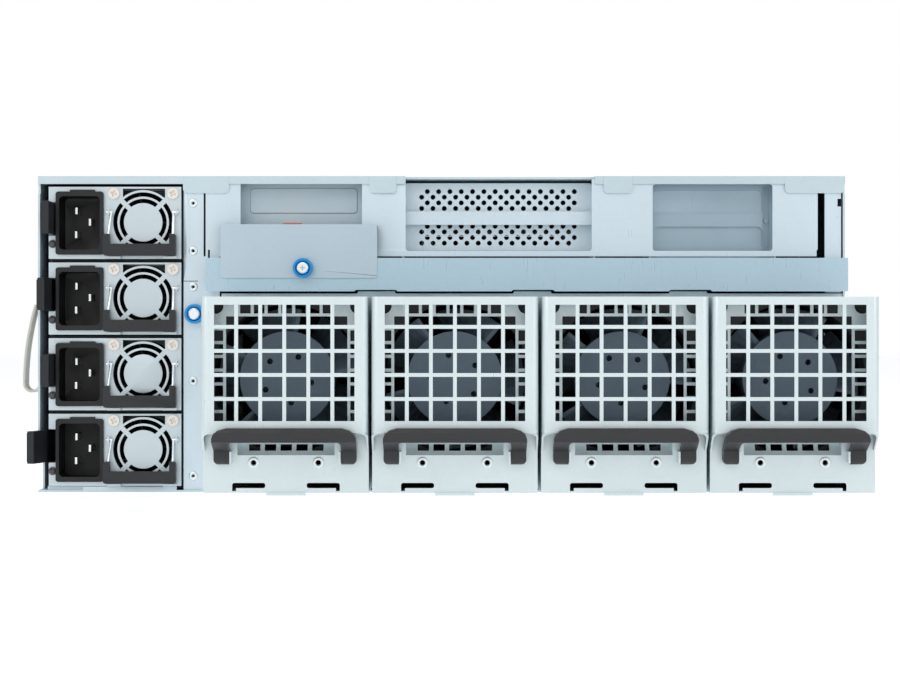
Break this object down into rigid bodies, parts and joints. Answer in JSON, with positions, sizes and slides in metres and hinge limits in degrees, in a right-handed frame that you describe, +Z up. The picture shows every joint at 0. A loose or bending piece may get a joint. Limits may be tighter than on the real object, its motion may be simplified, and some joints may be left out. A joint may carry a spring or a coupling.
{
  "type": "rack server",
  "caption": "Rack-mount accelerator server in a sheet-metal chassis, with sliding rear fan modules, stacked slide-out power supplies, a lift-off cover and rack ears.",
  "frame": {"origin": "middle of the underside of the chassis floor, halfway between the rear panel and the front panel", "axes": "+X to the right when facing the rear, +Y from the rear (fan side) to the front, +Z up"},
  "size_m": [0.4826, 0.8501, 0.1755],
  "materials": {
    "zinc_sheet": "satin zinc-plated steel sheet",
    "zinc_face": "pale satin zinc-plated steel face",
    "zinc_dark": "darker zinc-plated steel",
    "bright_steel": "bright stamped steel",
    "black_plastic": "black moulded plastic",
    "grey_plastic": "dark grey moulded plastic",
    "slate_plastic": "slate grey fan plastic",
    "blue_ring": "blue plastic ring on a steel screw",
    "orange_plastic": "orange plastic",
    "circuit_board": "green laminate",
    "aluminium_fins": "bare aluminium",
    "strap_fabric": "cream woven strap"
  },
  "bodies": {
    "chassis": {"chassis_base": "zinc_sheet", "rear_panel": "zinc_face", "psu_cage": "zinc_dark", "fan_cage": "zinc_dark", "crossbar": "zinc_dark", "deck_tray": "zinc_dark", "cover_plate": "zinc_face", "captive_screws": "blue_ring", "io_blank": "zinc_face", "pull_tab": "orange_plastic", "slot_covers": "zinc_face", "slot_bracket": "zinc_face", "mainboard": "circuit_board", "cpu_heatsinks": "aluminium_fins", "memory_modules": "circuit_board", "gpu_board": "circuit_board", "gpu_cards": "aluminium_fins", "front_panel": "zinc_dark", "rack_ears": "zinc_dark", "cable_strap": "strap_fabric"},
    "cover": {"top_cover": "zinc_sheet"},
    "power_button": {"power_button": "bright_steel"},
    "drive_1": {"drive_1": "aluminium_fins"},
    "drive_2": {"drive_2": "aluminium_fins"},
    "psu_1": {"psu_1_case": "bright_steel", "psu_1_inlet": "black_plastic"},
    "psu_1_fan": {"psu_1_rotor": "slate_plastic"},
    "psu_1_handle": {"psu_1_handle": "grey_plastic"},
    "psu_1_latch": {"psu_1_latch": "black_plastic"},
    "psu_2": {"psu_2_case": "bright_steel", "psu_2_inlet": "black_plastic"},
    "psu_2_fan": {"psu_2_rotor": "slate_plastic"},
    "psu_2_handle": {"psu_2_handle": "grey_plastic"},
    "psu_2_latch": {"psu_2_latch": "black_plastic"},
    "psu_3": {"psu_3_case": "bright_steel", "psu_3_inlet": "black_plastic"},
    "psu_3_fan": {"psu_3_rotor": "slate_plastic"},
    "psu_3_handle": {"psu_3_handle": "grey_plastic"},
    "psu_3_latch": {"psu_3_latch": "black_plastic"},
    "psu_4": {"psu_4_case": "bright_steel", "psu_4_inlet": "black_plastic"},
    "psu_4_fan": {"psu_4_rotor": "slate_plastic"},
    "psu_4_handle": {"psu_4_handle": "grey_plastic"},
    "psu_4_latch": {"psu_4_latch": "black_plastic"},
    "fan_1": {"fan_1_housing": "zinc_face", "fan_1_frame": "black_plastic"},
    "fan_1_rotor": {"fan_1_rotor": "slate_plastic"},
    "fan_1_bail": {"fan_1_bail": "grey_plastic"},
    "fan_2": {"fan_2_housing": "zinc_face", "fan_2_frame": "black_plastic"},
    "fan_2_rotor": {"fan_2_rotor": "slate_plastic"},
    "fan_2_bail": {"fan_2_bail": "grey_plastic"},
    "fan_3": {"fan_3_housing": "zinc_face", "fan_3_frame": "black_plastic"},
    "fan_3_rotor": {"fan_3_rotor": "slate_plastic"},
    "fan_3_bail": {"fan_3_bail": "grey_plastic"},
    "fan_4": {"fan_4_housing": "zinc_face", "fan_4_frame": "black_plastic"},
    "fan_4_rotor": {"fan_4_rotor": "slate_plastic"},
    "fan_4_bail": {"fan_4_bail": "grey_plastic"}
  },
  "joints": [
    {"name": "cover_lift", "type": "slide", "parent": "chassis", "child": "cover", "axis": [0, 0, 1], "range_m": [0, 0.12]},
    {"name": "power_press", "type": "slide", "parent": "chassis", "child": "power_button", "axis": [0, -1, 0], "range_m": [0, 0.0015], "stiffness_N_per_m": 400},
    {"name": "drive_1_slide", "type": "slide", "parent": "chassis", "child": "drive_1", "axis": [0, 1, 0], "range_m": [0, 0.165]},
    {"name": "drive_2_slide", "type": "slide", "parent": "chassis", "child": "drive_2", "axis": [0, 1, 0], "range_m": [0, 0.165]},
    {"name": "psu_1_slide", "type": "slide", "parent": "chassis", "child": "psu_1", "axis": [0, -1, 0], "range_m": [0, 0.27]},
    {"name": "psu_1_spin", "type": "hinge", "parent": "psu_1", "child": "psu_1_fan", "pos_m": [-0.1656, -0.3225, 0.1498], "axis": [0, 1, 0], "continuous": true},
    {"name": "psu_1_handle_fold", "type": "hinge", "parent": "psu_1", "child": "psu_1_handle", "pos_m": [-0.1657, -0.3497, 0.1553], "axis": [-1, 0, 0], "range_deg": [0, 90]},
    {"name": "psu_1_release", "type": "hinge", "parent": "psu_1", "child": "psu_1_latch", "pos_m": [-0.2158, -0.3335, 0.1517], "axis": [0, 0, 1], "range_deg": [0, 4], "stiffness_Nm_per_rad": 0.1},
    {"name": "psu_2_slide", "type": "slide", "parent": "chassis", "child": "psu_2", "axis": [0, -1, 0], "range_m": [0, 0.27]},
    {"name": "psu_2_spin", "type": "hinge", "parent": "psu_2", "child": "psu_2_fan", "pos_m": [-0.1656, -0.3225, 0.1078], "axis": [0, 1, 0], "continuous": true},
    {"name": "psu_2_handle_fold", "type": "hinge", "parent": "psu_2", "child": "psu_2_handle", "pos_m": [-0.1657, -0.3497, 0.1133], "axis": [-1, 0, 0], "range_deg": [0, 90]},
    {"name": "psu_2_release", "type": "hinge", "parent": "psu_2", "child": "psu_2_latch", "pos_m": [-0.2158, -0.3335, 0.1097], "axis": [0, 0, 1], "range_deg": [0, 8], "stiffness_Nm_per_rad": 0.1},
    {"name": "psu_3_slide", "type": "slide", "parent": "chassis", "child": "psu_3", "axis": [0, -1, 0], "range_m": [0, 0.27]},
    {"name": "psu_3_spin", "type": "hinge", "parent": "psu_3", "child": "psu_3_fan", "pos_m": [-0.1656, -0.3225, 0.0658], "axis": [0, 1, 0], "continuous": true},
    {"name": "psu_3_handle_fold", "type": "hinge", "parent": "psu_3", "child": "psu_3_handle", "pos_m": [-0.1657, -0.3497, 0.0713], "axis": [-1, 0, 0], "range_deg": [0, 90]},
    {"name": "psu_3_release", "type": "hinge", "parent": "psu_3", "child": "psu_3_latch", "pos_m": [-0.2158, -0.3335, 0.0677], "axis": [0, 0, 1], "range_deg": [0, 4], "stiffness_Nm_per_rad": 0.1},
    {"name": "psu_4_slide", "type": "slide", "parent": "chassis", "child": "psu_4", "axis": [0, -1, 0], "range_m": [0, 0.27]},
    {"name": "psu_4_spin", "type": "hinge", "parent": "psu_4", "child": "psu_4_fan", "pos_m": [-0.1656, -0.3225, 0.0238], "axis": [0, 1, 0], "continuous": true},
    {"name": "psu_4_handle_fold", "type": "hinge", "parent": "psu_4", "child": "psu_4_handle", "pos_m": [-0.1657, -0.3497, 0.0293], "axis": [-1, 0, 0], "range_deg": [0, 90]},
    {"name": "psu_4_release", "type": "hinge", "parent": "psu_4", "child": "psu_4_latch", "pos_m": [-0.2158, -0.3335, 0.0257], "axis": [0, 0, 1], "range_deg": [0, 18], "stiffness_Nm_per_rad": 0.1},
    {"name": "fan_1_slide", "type": "slide", "parent": "chassis", "child": "fan_1", "axis": [0, -1, 0], "range_m": [0, 0.06]},
    {"name": "fan_1_spin", "type": "hinge", "parent": "fan_1", "child": "fan_1_rotor", "pos_m": [-0.0794, -0.4125, 0.0646], "axis": [0, 1, 0], "continuous": true},
    {"name": "fan_1_bail_swing", "type": "hinge", "parent": "fan_1", "child": "fan_1_bail", "pos_m": [-0.0794, -0.4449, 0.0247], "axis": [1, 0, 0], "range_deg": [0, 90]},
    {"name": "fan_2_slide", "type": "slide", "parent": "chassis", "child": "fan_2", "axis": [0, -1, 0], "range_m": [0, 0.06]},
    {"name": "fan_2_spin", "type": "hinge", "parent": "fan_2", "child": "fan_2_rotor", "pos_m": [0.0072, -0.4125, 0.0646], "axis": [0, 1, 0], "continuous": true},
    {"name": "fan_2_bail_swing", "type": "hinge", "parent": "fan_2", "child": "fan_2_bail", "pos_m": [0.0072, -0.4449, 0.0247], "axis": [1, 0, 0], "range_deg": [0, 90]},
    {"name": "fan_3_slide", "type": "slide", "parent": "chassis", "child": "fan_3", "axis": [0, -1, 0], "range_m": [0, 0.06]},
    {"name": "fan_3_spin", "type": "hinge", "parent": "fan_3", "child": "fan_3_rotor", "pos_m": [0.0938, -0.4125, 0.0646], "axis": [0, 1, 0], "continuous": true},
    {"name": "fan_3_bail_swing", "type": "hinge", "parent": "fan_3", "child": "fan_3_bail", "pos_m": [0.0938, -0.4449, 0.0247], "axis": [1, 0, 0], "range_deg": [0, 90]},
    {"name": "fan_4_slide", "type": "slide", "parent": "chassis", "child": "fan_4", "axis": [0, -1, 0], "range_m": [0, 0.06]},
    {"name": "fan_4_spin", "type": "hinge", "parent": "fan_4", "child": "fan_4_rotor", "pos_m": [0.1804, -0.4125, 0.0646], "axis": [0, 1, 0], "continuous": true},
    {"name": "fan_4_bail_swing", "type": "hinge", "parent": "fan_4", "child": "fan_4_bail", "pos_m": [0.1804, -0.4449, 0.0247], "axis": [1, 0, 0], "range_deg": [0, 90]}
  ]
}
